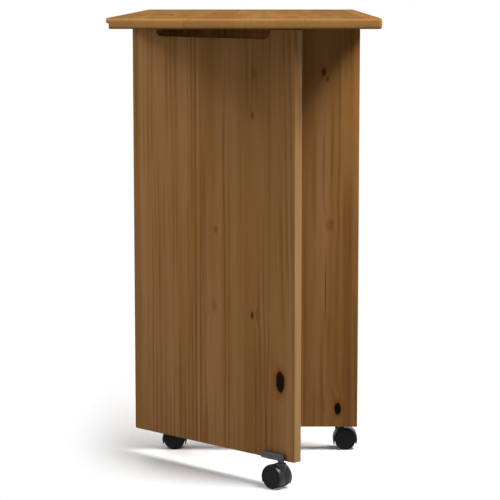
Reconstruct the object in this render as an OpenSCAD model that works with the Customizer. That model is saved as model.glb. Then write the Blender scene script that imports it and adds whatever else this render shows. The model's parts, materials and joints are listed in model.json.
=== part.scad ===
// Folding computer desk in stained pine: a long narrow top whose near end is a fold-over leaf,
// two end panels joined by a back panel, and a gate panel that swings out to carry the leaf.
// Each panel stands on small twin-wheel casters held in block brackets.
// Millimetres. X runs across the desk, Y along it, Z up. The origin is on the floor, under
// the middle of the open top. The leaf and the gate are at the -Y end.

/* [Top] */
// Height of the top surface above the floor
desk_height = 750; // [700:1:800]
// Length of the top with its leaf open
top_length = 1065; // [1000:1:1200]
// Width of the top
top_width = 426; // [415:1:480]
// Thickness of the top and of its leaf
top_thick = 17; // [16:0.5:22]
// Length of the fold-over leaf
leaf_length = 260; // [240:1:270]
// Gap between the leaf and the fixed top
seam_gap = 0.6; // [0.4:0.1:1.5]
// Depth of the step under the left edge of the top
rebate_step = 4; // [2:0.5:8]
// Thickness of the lip that stands over that step
rebate_lip = 8; // [5:0.5:10]

/* [End panels] */
// Width of the end panels
panel_width = 370; // [350:1:372]
// Thickness of the end, gate and back panels
panel_thick = 17; // [16:0.5:20]
// Distance from the left edge of the top to the end panels
panel_inset = 34.5; // [30:0.5:40]
// Distance from the near end of the top to the near end panel
near_overhang = 285; // [280:1:310]
// Distance from the far end of the top to the far end panel
far_overhang = 28; // [15:1:60]

/* [Back panel and cleats] */
// Height of the back panel
back_height = 380; // [250:1:600]
// Distance from the left edge of the end panels to the back panel
back_inset = 10; // [0:1:40]
// Side of the square cleats under the top
cleat_side = 20; // [18:1:30]
// Space left at each end of a cleat
cleat_end_gap = 12; // [5:1:40]
// Radius of the dowels in the back panel
dowel_r = 4; // [3:0.5:5]
// Length of the dowels in the back panel
dowel_length = 30; // [20:1:40]
// Length of the panel bolts in the back panel
bolt_length = 50; // [40:1:70]

/* [Gate] */
// Width of the gate panel
gate_width = 370; // [350:1:375]
// Angle between the gate and the near end panel
gate_open = 43; // [0:1:50]
// Gap between the gate and the underside of the leaf
gate_top_gap = 1; // [0.5:0.5:3]
// Height of the gate above the bottom of the end panels
gate_lift = 1.5; // [0:0.5:4]
// Length of the hand cut-out in the top edge of the gate
cutout_length = 258; // [200:1:300]
// Distance from the hinge edge of the gate to the cut-out
cutout_start = 57; // [40:1:68]
// Depth of the cut-out
cutout_depth = 15; // [14:0.5:30]
// Radius of the lower corners of the cut-out
cutout_corner = 12; // [6:0.5:13]

/* [Gate hinges] */
// Number of gate hinges
gate_hinges = 3; // [2:1:4]
// Height of one gate hinge
gate_hinge_height = 64; // [50:1:90]
// Distance from the ends of the gate to its outer hinges
gate_hinge_inset = 60; // [50:1:100]
// Width of a gate hinge plate from the pin
gate_hinge_reach = 26; // [22:1:32]
// Thickness of the gate hinge plates
gate_hinge_thick = 0.85; // [0.7:0.05:0.9]
// Gap between the closed gate and the end panel
gate_gap = 2; // [2:0.1:3]
// Radius of the gate hinge barrel
gate_barrel_r = 2.9; // [2.5:0.1:2.9]
// Radius of the gate hinge pin
gate_pin_r = 1.5; // [1.2:0.1:1.7]
// Distance from the pin to the edges of the gate and the end panel
gate_pin_offset = 3; // [3:0.1:5]

/* [Leaf hinges] */
// Distance between the two leaf hinges
leaf_hinge_spacing = 280; // [200:1:320]
// Length of one leaf hinge
leaf_hinge_length = 38; // [34:1:70]
// Width of a leaf hinge plate from the pin
leaf_hinge_reach = 19; // [16:1:30]
// Thickness of the leaf hinge plates
leaf_hinge_thick = 1.4; // [1:0.1:2]
// Height of the leaf hinge pin above the top surface
leaf_pin_lift = 0.4; // [0.2:0.1:0.6]
// Radius of the leaf hinge barrel
leaf_barrel_r = 1.9; // [1.8:0.1:2.6]
// Radius of the leaf hinge pin
leaf_pin_r = 1; // [0.8:0.1:1.2]

/* [Casters] */
// Height of the end panels above the floor
caster_height = 42.5; // [42.5:0.5:60]
// Radius of a wheel
wheel_r = 18; // [14:0.5:18]
// Width of one wheel
wheel_width = 13.2; // [8:0.1:14]
// Thickness of the web between the two wheels
web_thick = 2.4; // [2:0.1:4]
// Radius of the hood over the wheels
hood_r = 21.5; // [21:0.5:22]
// Thickness of the hood's wall
hood_wall = 2.3; // [1.8:0.1:2.4]
// Distance from the swivel stem to the axle
trail = 9; // [5:0.5:12]
// Radius of the axle
axle_r = 2.5; // [2:0.1:3]
// Radius of the swivel stem
stem_r = 3.5; // [3:0.1:4]
// Radius of the neck round the stem
neck_r = 8.5; // [7:0.1:9]

/* [Caster brackets] */
// Length of a bracket
bracket_length = 44; // [40:1:60]
// Height of a bracket
bracket_height = 10.5; // [9:0.5:24]
// Distance from the bottom of the end panels to a bracket
bracket_lift = 3.5; // [2:0.5:8]
// Radius of a bracket's round end, which holds the stem
socket_r = 5.8; // [5.4:0.1:8]
// Thickness of a bracket above the end of the stem
socket_roof = 1.5; // [1:0.1:3]
// Distance from the hinge edge of an end panel to the left stem
left_stem_inset = 44; // [36:1:60]
// Distance from the other edge of an end panel to the right stem
right_stem_inset = 29.5; // [25:0.5:60]
// Distance from the free edge of the gate to its stem
gate_stem_inset = 23; // [20:1:60]

/* [Screws and fits] */
// Radius of the hinge and bracket screws
screw_r = 1.5; // [1.2:0.1:2]
// Head radius of the hinge and bracket screws
screw_head_r = 2.8; // [2.4:0.1:3.2]
// Length of the hinge and bracket screws
screw_length = 12; // [8:0.5:14]
// How deep the bracket screws go into a panel
bracket_screw_bite = 10; // [8:0.5:14]
// Radius of the cleat screws
cleat_screw_r = 2; // [1.6:0.1:2.5]
// Head radius of the cleat screws
cleat_screw_head_r = 3.8; // [3.2:0.1:4.5]
// How deep the cleat screws go into a board
cleat_screw_bite = 12; // [8:0.5:14]
// Radial clearance of a screw or dowel in its hole
hole_clearance = 0.03; // [0.01:0.01:0.1]
// Radial clearance of a turning fit
running_clearance = 0.05; // [0.03:0.01:0.1]
// Gap between two hinge knuckles
knuckle_gap = 0.4; // [0.2:0.1:1]
// Gap between a wheel and what stands beside it
wheel_gap = 0.5; // [0.3:0.1:1]

/* [Hidden] */
$fn = 48;

pine_top = "#a5743a";
pine_panel = "#7a5730";
pine_inside = "#8a6437";
bracket_grey = "#4c525a";
hinge_brass = "#a07b42";
steel = "#b4b6b8";
black_plastic = "#1b1c1d";
wheel_black = "#262727";
beech = "#d8b98a";

// Places that follow from the sizes above
top_left = -top_width / 2;
top_near = -top_length / 2;
top_far = top_length / 2;
underside = desk_height - top_thick;
seam_y = top_near + leaf_length;
panel_left = top_left + panel_inset;
panel_right = panel_left + panel_width;
near_face = top_near + near_overhang;
near_back = near_face + panel_thick;
far_outer = top_far - far_overhang;
far_inner = far_outer - panel_thick;
back_left = panel_left + back_inset;
back_right = back_left + panel_thick;
back_bottom = underside - back_height;
pin_x = panel_left - gate_pin_offset;
pin_y = near_face - gate_gap / 2;
gate_bottom = caster_height + gate_lift;
gate_top = underside - gate_top_gap;
gate_front = -gate_gap / 2 - panel_thick;
gate_end = gate_pin_offset + gate_width;
left_stem_x = panel_left + left_stem_inset;
right_stem_x = panel_right - right_stem_inset;
near_stem_y = near_back + socket_r;
far_stem_y = far_inner - socket_r;
gate_stem_x = gate_end - gate_stem_inset;
gate_stem_y = gate_front - socket_r;
leaf_pin_z = desk_height + leaf_pin_lift;
leaf_barrel_clearance = 0.4;
plate_recess_gap = 0.1;
bracket_bottom = caster_height + bracket_lift;
bracket_depth = 2 * socket_r;
hood_width = web_thick + 2 * (wheel_gap + wheel_width) - 0.4;
pocket_r = hood_r - hood_wall;
screw_head_height = screw_head_r - screw_r;
cleat_head_height = cleat_screw_head_r - cleat_screw_r;

// Heights of the gate hinges' lower ends
function gate_hinge_z(i) =
    let (
        low = gate_bottom + gate_hinge_inset,
        high = gate_top - gate_hinge_inset - gate_hinge_height
    )
    low + i * (high - low) / (gate_hinges - 1);

// Heights of the screws in one gate hinge plate, from its lower end
gate_plate_screws = [0.15, 0.5, 0.85] * gate_hinge_height;
gate_plate_screw_x = 0.65 * gate_hinge_reach;
// Places of the screws in one leaf hinge plate, from its left end
leaf_plate_screws = [0.15, 0.5, 0.85] * leaf_hinge_length;
leaf_plate_screw_y = 0.6 * leaf_hinge_reach;
// Places of the screws in a bracket plate, from the stem
bracket_screws = [0.36, 0.72] * bracket_length;

// A countersunk screw along -Z with its head's flat face at z = 0.
// grow widens it into the hole that it needs, and a drive of 0 leaves out the cross recess.
module screw(length, r, head_r, grow = 0, drive = 1) {
    head_height = head_r - r;
    difference() {
        union() {
            translate([0, 0, -head_height]) cylinder(h = head_height, r1 = r + grow, r2 = head_r + grow);
            translate([0, 0, -length - grow]) cylinder(h = length + grow - head_height / 2, r = r + grow);
        }
        if (drive > 0)
            for (turn = [0, 90])
                rotate([0, 0, turn])
                    translate([-head_r * 0.55, -head_r * 0.1, -head_height * 0.6])
                        cube([head_r * 1.1, head_r * 0.2, head_height]);
    }
}

// One half of a hinge. The pin runs along Z from 0 to height, and the plate lies towards +X
// between plate_low and plate_high in Y. own is 0 for the odd knuckles and 1 for the even ones.
module hinge_half(height, own, reach, plate_low, plate_high, barrel_r, hole_r) {
    knuckles = 5;
    pitch = height / knuckles;
    plate_start = barrel_r + leaf_barrel_clearance;
    difference() {
        union() {
            translate([plate_start, plate_low, 0])
                cube([reach - plate_start, plate_high - plate_low, height]);
            for (i = [own : 2 : knuckles - 1])
                translate([0, 0, i * pitch + knuckle_gap / 2]) {
                    cylinder(r = barrel_r, h = pitch - knuckle_gap);
                    translate([0, plate_low, 0])
                        cube([plate_start + 1, plate_high - plate_low, pitch - knuckle_gap]);
                }
        }
        translate([0, 0, -1]) cylinder(r = hole_r, h = height + 2);
    }
}

// The gate's own frame: the pin is at its origin, the gate lies along +X and its front is -Y.
module at_gate() {
    translate([pin_x, pin_y, 0]) rotate([0, 0, -gate_open]) children();
}

// The near end panel's hinge frame: the closed gate would lie along +X of it.
module at_gate_pin() {
    translate([pin_x, pin_y, 0]) children();
}

module gate_hinge_screws(side, grow = 0, drive = 1) {
    for (i = [0 : gate_hinges - 1])
        for (z = gate_plate_screws)
            translate([gate_plate_screw_x, side * (gate_gap / 2 - gate_hinge_thick), gate_hinge_z(i) + z])
                rotate([side * 90, 0, 0])
                    screw(screw_length, screw_r, screw_head_r, grow, drive);
}

module gate_hinge_plates(side, own, hole_r) {
    difference() {
        for (i = [0 : gate_hinges - 1])
            translate([0, 0, gate_hinge_z(i)])
                mirror([0, side < 0 ? 1 : 0, 0])
                    hinge_half(gate_hinge_height, own, gate_hinge_reach,
                        gate_gap / 2 - gate_hinge_thick, gate_gap / 2, gate_barrel_r, hole_r);
        gate_hinge_screws(side, hole_clearance, 0);
    }
}

// The leaf hinges' frame: Z of a hinge becomes X of the desk, and its plate lies towards +Y.
module at_leaf_hinges() {
    for (side = [-1, 1])
        translate([side * leaf_hinge_spacing / 2 - leaf_hinge_length / 2, seam_y, leaf_pin_z])
            rotate([90, 0, 90]) children();
}

module leaf_hinge_screws(side, grow = 0, drive = 1) {
    at_leaf_hinges()
        for (z = leaf_plate_screws)
            translate([side * leaf_plate_screw_y, -leaf_pin_lift, z])
                rotate([-90, 0, 0])
                    screw(screw_length, screw_r, screw_head_r, grow, drive);
}

module leaf_hinge_plates(side, own, hole_r) {
    difference() {
        at_leaf_hinges()
            mirror([side < 0 ? 1 : 0, 0, 0])
                hinge_half(leaf_hinge_length, own, leaf_hinge_reach,
                    -leaf_pin_lift - leaf_hinge_thick, -leaf_pin_lift, leaf_barrel_r, hole_r);
        leaf_hinge_screws(side, hole_clearance, 0);
    }
}

// What the leaf hinges take out of the boards: the plates' recesses and the barrels' grooves
module leaf_hinge_recess() {
    at_leaf_hinges() {
        translate([-leaf_hinge_reach - plate_recess_gap, -leaf_pin_lift - leaf_hinge_thick, -plate_recess_gap])
            cube([2 * (leaf_hinge_reach + plate_recess_gap), leaf_hinge_thick + 1,
                leaf_hinge_length + 2 * plate_recess_gap]);
        translate([0, 0, -plate_recess_gap])
            cylinder(r = leaf_barrel_r + leaf_barrel_clearance,
                h = leaf_hinge_length + 2 * plate_recess_gap);
    }
}

// A board of the top from y0 to y1, with the step under its left edge
module top_board(y0, y1) {
    translate([0, y1, 0]) rotate([90, 0, 0]) linear_extrude(y1 - y0)
        polygon([
            [top_left, desk_height],
            [top_left, desk_height - rebate_lip],
            [top_left + rebate_step, desk_height - rebate_lip],
            [top_left + rebate_step, underside],
            [top_left + top_width, underside],
            [top_left + top_width, desk_height]
        ]);
}

// Cleats: a square batten along each end panel and one along the back panel
cleat_z = underside - cleat_side;
end_cleat_x = back_right + cleat_side + cleat_end_gap;
end_cleat_length = panel_right - end_cleat_x - cleat_end_gap;
back_cleat_y = near_back + cleat_end_gap;
back_cleat_length = far_inner - near_back - 2 * cleat_end_gap;
cleat_shares = [0.12, 0.5, 0.88];
cleat_side_shares = [0.3, 0.7];
cleat_screw_length = cleat_side + cleat_screw_bite;

module cleat_screw_up(x, y, grow, drive) {
    translate([x, y, cleat_z]) rotate([180, 0, 0])
        screw(cleat_screw_length, cleat_screw_r, cleat_screw_head_r, grow, drive);
}

module cleat_screw_set(grow = 0, drive = 1) {
    mid_z = cleat_z + cleat_side / 2;
    for (share = cleat_shares) {
        x = end_cleat_x + share * end_cleat_length;
        cleat_screw_up(x, near_back + cleat_side / 2, grow, drive);
        cleat_screw_up(x, far_inner - cleat_side / 2, grow, drive);
        cleat_screw_up(back_right + cleat_side / 2, back_cleat_y + share * back_cleat_length, grow, drive);
    }
    for (share = cleat_side_shares) {
        x = end_cleat_x + share * end_cleat_length;
        translate([x, near_back + cleat_side, mid_z]) rotate([-90, 0, 0])
            screw(cleat_screw_length, cleat_screw_r, cleat_screw_head_r, grow, drive);
        translate([x, far_inner - cleat_side, mid_z]) rotate([90, 0, 0])
            screw(cleat_screw_length, cleat_screw_r, cleat_screw_head_r, grow, drive);
        translate([back_right + cleat_side, back_cleat_y + share * back_cleat_length, mid_z])
            rotate([0, 90, 0])
                screw(cleat_screw_length, cleat_screw_r, cleat_screw_head_r, grow, drive);
    }
}

// Panel bolts and dowels between the end panels and the ends of the back panel
bolt_r = 3;
bolt_head_r = 4.6;
bolt_shares = [0.25, 0.5, 0.92];
dowel_shares = [0.36, 0.62];

module panel_bolts(grow = 0, drive = 1) {
    for (share = bolt_shares) {
        z = back_bottom + share * back_height;
        x = (back_left + back_right) / 2;
        translate([x, near_face, z]) rotate([90, 0, 0])
            screw(bolt_length, bolt_r, bolt_head_r, grow, drive);
        translate([x, far_outer, z]) rotate([-90, 0, 0])
            screw(bolt_length, bolt_r, bolt_head_r, grow, drive);
    }
}

module panel_dowels(grow = 0) {
    reach = dowel_length / 2 - 0.7 * panel_thick;
    for (share = dowel_shares)
        for (y = [near_back + reach, far_inner - reach])
            translate([(back_left + back_right) / 2, y, back_bottom + share * back_height])
                rotate([90, 0, 0]) cylinder(r = dowel_r + grow, h = dowel_length + 2 * grow, center = true);
}

// A snap ring round the stem sits in a groove in its socket and holds the caster in.
ring_proud = 0.5;
ring_height = 1.2;
ring_gap = 0.15;
ring_z = bracket_bottom + bracket_height / 2;
stem_end_gap = 0.3;
stem_top = bracket_bottom + bracket_height - socket_roof - stem_end_gap;

// Brackets. In a bracket's frame the stem's axis is Z, the panel's face is at y = socket_r and
// the block runs towards -X.
module bracket() {
    difference() {
        union() {
            translate([socket_r - bracket_length, -socket_r, bracket_bottom])
                cube([bracket_length - socket_r, bracket_depth, bracket_height]);
            translate([0, 0, bracket_bottom]) cylinder(r = socket_r, h = bracket_height);
        }
        translate([0, 0, bracket_bottom - 1])
            cylinder(r = stem_r + running_clearance, h = stem_top + stem_end_gap + 1 - bracket_bottom);
        translate([0, 0, ring_z - ring_height / 2 - ring_gap])
            cylinder(r = stem_r + ring_proud + ring_gap, h = ring_height + 2 * ring_gap);
        bracket_screw_pair(hole_clearance, 0);
    }
}

module bracket_screw_pair(grow = 0, drive = 1) {
    for (x = bracket_screws)
        translate([-x, socket_r - bracket_depth, bracket_bottom + bracket_height / 2])
            rotate([90, 0, 0])
                screw(bracket_depth + bracket_screw_bite, screw_r, screw_head_r, grow, drive);
}

module at_near_left() {
    translate([left_stem_x, near_stem_y, 0]) rotate([0, 0, 180]) children();
}

module at_near_right() {
    translate([right_stem_x, near_stem_y, 0]) mirror([0, 1, 0]) children();
}

module at_far_left() {
    translate([left_stem_x, far_stem_y, 0]) mirror([1, 0, 0]) children();
}

module at_far_right() {
    translate([right_stem_x, far_stem_y, 0]) children();
}

module at_gate_stem() {
    at_gate() translate([gate_stem_x, gate_stem_y, 0]) children();
}

module end_bracket_screws(grow = 0, drive = 1) {
    at_near_left() bracket_screw_pair(grow, drive);
    at_near_right() bracket_screw_pair(grow, drive);
    at_far_left() bracket_screw_pair(grow, drive);
    at_far_right() bracket_screw_pair(grow, drive);
}

// Caster pieces. In a caster's frame the stem's axis is Z and the wheels trail towards +X.
neck_top = caster_height - 0.5;
neck_slope = 3;
collar_r = socket_r - 0.6;
collar_top = bracket_bottom - 0.5;
stem_foot = wheel_r + pocket_r - 1;
hub_r = 5.5;
hub_half = web_thick / 2 + 2;
axle_length = 2 * (web_thick / 2 + wheel_gap + wheel_width - 2.2);
axle_end_gap = 0.3;

module stem() {
    color(steel) {
        translate([0, 0, stem_foot]) cylinder(r = stem_r, h = stem_top - stem_foot);
        translate([0, 0, ring_z - ring_height / 2]) cylinder(r = stem_r + ring_proud, h = ring_height);
    }
}

module hood() {
    color(black_plastic) difference() {
        union() {
            translate([trail, 0, wheel_r]) rotate([90, 0, 0])
                cylinder(r = hood_r, h = hood_width, center = true, $fn = 72);
            translate([0, 0, wheel_r]) cylinder(r = neck_r, h = neck_top - neck_slope - wheel_r);
            translate([0, 0, neck_top - neck_slope])
                cylinder(r1 = neck_r, r2 = neck_r - 1.8, h = neck_slope);
            translate([0, 0, neck_top - neck_slope])
                cylinder(r = collar_r, h = collar_top - neck_top + neck_slope);
        }
        // The pockets that the two wheels turn in
        for (side = [-1, 1])
            translate([trail, side * (web_thick / 2 + hood_width / 2), wheel_r]) rotate([90, 0, 0])
                difference() {
                    cylinder(r = pocket_r, h = hood_width, center = true, $fn = 72);
                    translate([0, 0, side * (hood_width - (hub_half - web_thick / 2)) / 2])
                        cylinder(r = hub_r, h = hub_half - web_thick / 2 + 0.01, center = true);
                }
        // The hood ends below the axle in two points
        translate([trail, 0, wheel_r]) rotate([90, 0, 0])
            linear_extrude(hood_width + 2, center = true)
                polygon([
                    [-2 * hood_r, -hood_r * 0.47], [-hood_r * 0.88, -hood_r * 0.47],
                    [-hood_r * 0.8, -hood_r * 0.24], [-hub_r - 1, -hood_r * 0.24],
                    [-hub_r - 1, -hub_r - 1], [hub_r + 1, -hub_r - 1],
                    [hub_r + 1, -hood_r * 0.24], [hood_r * 0.8, -hood_r * 0.24],
                    [hood_r * 0.88, -hood_r * 0.47], [2 * hood_r, -hood_r * 0.47],
                    [2 * hood_r, -2 * hood_r], [-2 * hood_r, -2 * hood_r]
                ]);
        // The groove that parts the two lobes of the hood
        translate([trail, 0, wheel_r]) rotate([90, 0, 0])
            difference() {
                cylinder(r = hood_r + 1, h = 1.6, center = true, $fn = 72);
                cylinder(r = hood_r - 1, h = 2.6, center = true, $fn = 72);
                translate([-trail - neck_r, 0, -2]) cube([2 * neck_r, 2 * hood_r, 4]);
            }
        translate([trail, 0, wheel_r]) rotate([90, 0, 0])
            cylinder(r = axle_r, h = 2 * hub_half + 1, center = true);
        translate([0, 0, stem_foot]) cylinder(r = stem_r, h = caster_height);
    }
}

module axle() {
    color(steel) translate([trail, 0, wheel_r]) rotate([90, 0, 0])
        cylinder(r = axle_r, h = axle_length, center = true);
}

// side is 1 for the wheel on the caster's +Y side and -1 for the other
module wheel(side) {
    rim = 1;
    dish = 0.7;
    dish_r = wheel_r - 4.4;
    bore_depth = axle_length / 2 - web_thick / 2 - wheel_gap + axle_end_gap;
    hub_depth = hub_half - web_thick / 2;
    color(wheel_black)
        translate([trail, side * (web_thick / 2 + wheel_gap), wheel_r])
            rotate([-side * 90, 0, 0])
                rotate_extrude($fn = 72)
                    polygon([
                        [axle_r + running_clearance, hub_depth],
                        [axle_r + running_clearance, bore_depth],
                        [0, bore_depth],
                        [0, wheel_width - dish],
                        [dish_r, wheel_width - dish],
                        [dish_r + 1, wheel_width],
                        [wheel_r - rim, wheel_width],
                        [wheel_r, wheel_width - rim],
                        [wheel_r, rim],
                        [wheel_r - rim, 0],
                        [hub_r + wheel_gap, 0],
                        [hub_r + wheel_gap, hub_depth]
                    ]);
}

// A caster's place is its stem. The gate's caster trails towards the gate's hinge.
module caster_at(place) {
    if (place == "near_left") translate([left_stem_x, near_stem_y, 0]) children();
    if (place == "near_right") translate([right_stem_x, near_stem_y, 0]) children();
    if (place == "far_left") translate([left_stem_x, far_stem_y, 0]) children();
    if (place == "far_right") translate([right_stem_x, far_stem_y, 0]) children();
    if (place == "gate") at_gate_stem() rotate([0, 0, 180]) children();
}

module fixed_top() {
    color(pine_top) difference() {
        top_board(seam_y + seam_gap / 2, top_far);
        leaf_hinge_recess();
        leaf_hinge_screws(1, hole_clearance, 0);
        cleat_screw_set(hole_clearance, 0);
    }
}

module leaf() {
    color(pine_top) difference() {
        top_board(top_near, seam_y - seam_gap / 2);
        leaf_hinge_recess();
        leaf_hinge_screws(-1, hole_clearance, 0);
    }
}

module near_end_panel() {
    color(pine_panel) difference() {
        translate([panel_left, near_face, caster_height])
            cube([panel_width, panel_thick, underside - caster_height]);
        at_gate_pin() gate_hinge_screws(1, hole_clearance, 0);
        end_bracket_screws(hole_clearance, 0);
        cleat_screw_set(hole_clearance, 0);
        panel_bolts(hole_clearance, 0);
        panel_dowels(hole_clearance);
    }
}

module far_end_panel() {
    color(pine_panel) difference() {
        translate([panel_left, far_inner, caster_height])
            cube([panel_width, panel_thick, underside - caster_height]);
        end_bracket_screws(hole_clearance, 0);
        cleat_screw_set(hole_clearance, 0);
        panel_bolts(hole_clearance, 0);
        panel_dowels(hole_clearance);
    }
}

module back_panel() {
    color(pine_panel) difference() {
        translate([back_left, near_back, back_bottom])
            cube([panel_thick, far_inner - near_back, back_height]);
        cleat_screw_set(hole_clearance, 0);
        panel_bolts(hole_clearance, 0);
        panel_dowels(hole_clearance);
    }
}

module near_cleat() {
    color(pine_inside) difference() {
        translate([end_cleat_x, near_back, cleat_z]) cube([end_cleat_length, cleat_side, cleat_side]);
        cleat_screw_set(hole_clearance, 0);
    }
}

module far_cleat() {
    color(pine_inside) difference() {
        translate([end_cleat_x, far_inner - cleat_side, cleat_z]) cube([end_cleat_length, cleat_side, cleat_side]);
        cleat_screw_set(hole_clearance, 0);
    }
}

module back_cleat() {
    color(pine_inside) difference() {
        translate([back_right, back_cleat_y, cleat_z]) cube([cleat_side, back_cleat_length, cleat_side]);
        cleat_screw_set(hole_clearance, 0);
    }
}

// The gate board with its hand cut-out, in the gate's own frame
module gate_board() {
    cut_bottom = gate_top - cutout_depth;
    cut_left = gate_pin_offset + cutout_start;
    cut_right = cut_left + cutout_length;
    difference() {
        translate([gate_pin_offset, gate_front, gate_bottom])
            cube([gate_width, panel_thick, gate_top - gate_bottom]);
        translate([0, gate_front + panel_thick + 1, 0]) rotate([90, 0, 0]) linear_extrude(panel_thick + 2) {
            translate([cut_left, cut_bottom + cutout_corner]) square([cutout_length, cutout_depth]);
            translate([cut_left + cutout_corner, cut_bottom])
                square([cutout_length - 2 * cutout_corner, cutout_depth]);
            for (x = [cut_left + cutout_corner, cut_right - cutout_corner])
                translate([x, cut_bottom + cutout_corner]) circle(r = cutout_corner);
        }
    }
}

module gate_panel() {
    color(pine_panel) at_gate() difference() {
        gate_board();
        gate_hinge_screws(-1, hole_clearance, 0);
        translate([gate_stem_x, gate_stem_y, 0]) bracket_screw_pair(hole_clearance, 0);
    }
}

module gate_pins() {
    color(steel) at_gate_pin()
        for (i = [0 : gate_hinges - 1])
            translate([0, 0, gate_hinge_z(i)]) cylinder(r = gate_pin_r, h = gate_hinge_height);
}

module leaf_pins() {
    color(steel) at_leaf_hinges() cylinder(r = leaf_pin_r, h = leaf_hinge_length);
}

fixed_top();
near_end_panel();
far_end_panel();
back_panel();
near_cleat();
far_cleat();
back_cleat();
color(steel) cleat_screw_set();  // cleat_screws
color(steel) panel_bolts();  // back_panel_bolts
color(beech) panel_dowels();  // back_panel_dowels
color(hinge_brass) leaf_hinge_plates(1, 0, leaf_pin_r);  // leaf_hinge_fixed_plates
leaf_pins();  // leaf_hinge_pins
color(hinge_brass) leaf_hinge_screws(1);  // leaf_hinge_fixed_screws
color(steel) at_gate_pin() gate_hinge_plates(1, 0, gate_pin_r);  // gate_hinge_fixed_plates
gate_pins();  // gate_hinge_pins
color(steel) at_gate_pin() gate_hinge_screws(1);  // gate_hinge_fixed_screws
color(bracket_grey) at_near_left() bracket();  // near_left_bracket
color(bracket_grey) at_near_right() bracket();  // near_right_bracket
color(bracket_grey) at_far_left() bracket();  // far_left_bracket
color(bracket_grey) at_far_right() bracket();  // far_right_bracket
color(steel) end_bracket_screws();  // end_panel_bracket_screws
leaf();
color(hinge_brass) leaf_hinge_plates(-1, 1, leaf_pin_r + running_clearance);  // leaf_hinge_moving_plates
color(hinge_brass) leaf_hinge_screws(-1);  // leaf_hinge_moving_screws
gate_panel();
color(steel) at_gate() gate_hinge_plates(-1, 1, gate_pin_r + running_clearance);  // gate_hinge_moving_plates
color(steel) at_gate() gate_hinge_screws(-1);  // gate_hinge_moving_screws
color(bracket_grey) at_gate_stem() bracket();  // gate_bracket
color(steel) at_gate_stem() bracket_screw_pair();  // gate_bracket_screws
for (place = ["near_left", "near_right", "far_left", "far_right", "gate"]) {
    caster_at(place) stem();
    caster_at(place) hood();
    caster_at(place) axle();
    caster_at(place) wheel(-1);
    caster_at(place) wheel(1);
}
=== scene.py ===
import json
import math

import bpy
from mathutils import Matrix, Vector


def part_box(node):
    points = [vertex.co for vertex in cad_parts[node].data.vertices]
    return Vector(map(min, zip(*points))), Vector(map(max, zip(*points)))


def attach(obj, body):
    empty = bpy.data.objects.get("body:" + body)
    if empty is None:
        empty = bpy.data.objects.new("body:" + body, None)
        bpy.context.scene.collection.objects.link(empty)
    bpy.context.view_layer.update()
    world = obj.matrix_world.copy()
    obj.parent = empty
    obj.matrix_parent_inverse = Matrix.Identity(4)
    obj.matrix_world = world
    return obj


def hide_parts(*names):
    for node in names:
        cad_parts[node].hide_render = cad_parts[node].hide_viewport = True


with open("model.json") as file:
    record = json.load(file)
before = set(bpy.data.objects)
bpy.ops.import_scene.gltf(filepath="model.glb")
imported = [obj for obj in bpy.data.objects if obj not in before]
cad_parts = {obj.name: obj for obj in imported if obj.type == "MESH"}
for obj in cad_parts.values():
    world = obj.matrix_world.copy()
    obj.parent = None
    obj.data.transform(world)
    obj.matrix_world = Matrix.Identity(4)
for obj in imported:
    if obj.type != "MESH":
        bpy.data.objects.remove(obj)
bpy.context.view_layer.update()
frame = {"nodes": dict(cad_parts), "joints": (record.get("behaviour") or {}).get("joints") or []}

# Stage. A pale floor that runs into a white surround, a large soft lamp high at the right, as
# the leaf's shadow on the near end panel shows, weaker ones all round, and a faint level sky.
# The camera stands a little above the top's height and looks along the desk.
MM = 0.001
lens_mm = 141.8
sensor_mm = 36
view_reach = 200
camera_at = Vector((42.6, -3585, 800.7)) * MM
camera_down = math.radians(7.67)
camera_left = math.radians(0.63)

bpy.ops.object.select_all(action="DESELECT")
bpy.ops.object.camera_add(
    location=camera_at, rotation=(math.pi / 2 - camera_down, 0, camera_left)
)
camera = bpy.context.object
camera.name = "camera"
camera.data.lens = lens_mm
camera.data.sensor_width = sensor_mm
camera.data.clip_end = view_reach
bpy.context.scene.camera = camera
bpy.context.scene.view_settings.view_transform = "Standard"


def new_material(name, roughness, metallic=0.0):
    """A material with its shader's plain numbers set, then its nodes, links and shader."""
    material = bpy.data.materials.new(name)
    material.use_nodes = True
    nodes = material.node_tree.nodes
    shader = nodes["Principled BSDF"]
    shader.inputs["Roughness"].default_value = roughness
    shader.inputs["Metallic"].default_value = metallic
    return material, nodes, material.node_tree.links, shader


def colour(hex_code):
    """Linear red, green, blue and alpha of a screen colour such as a5743a."""
    parts = [int(hex_code[i : i + 2], 16) / 255 for i in (0, 2, 4)]
    linear = [p / 12.92 if p <= 0.04045 else ((p + 0.055) / 1.055) ** 2.4 for p in parts]
    return (*linear, 1)


def add_node(nodes, kind, **settings):
    """A shader node of this kind with its settings."""
    node = nodes.new("ShaderNode" + kind)
    for name, value in settings.items():
        setattr(node, name, value)
    return node


def background_ray(nodes, links):
    """1 for a ray of the camera, or one that a glossy or clear surface sends on, and else 0."""
    light_path = add_node(nodes, "LightPath")
    total = light_path.outputs["Is Camera Ray"]
    for kind in ("Is Glossy Ray", "Is Transmission Ray"):
        add = add_node(nodes, "Math", operation="ADD", use_clamp=True)
        links.new(total, add.inputs[0])
        links.new(light_path.outputs[kind], add.inputs[1])
        total = add.outputs[0]
    return total


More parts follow.
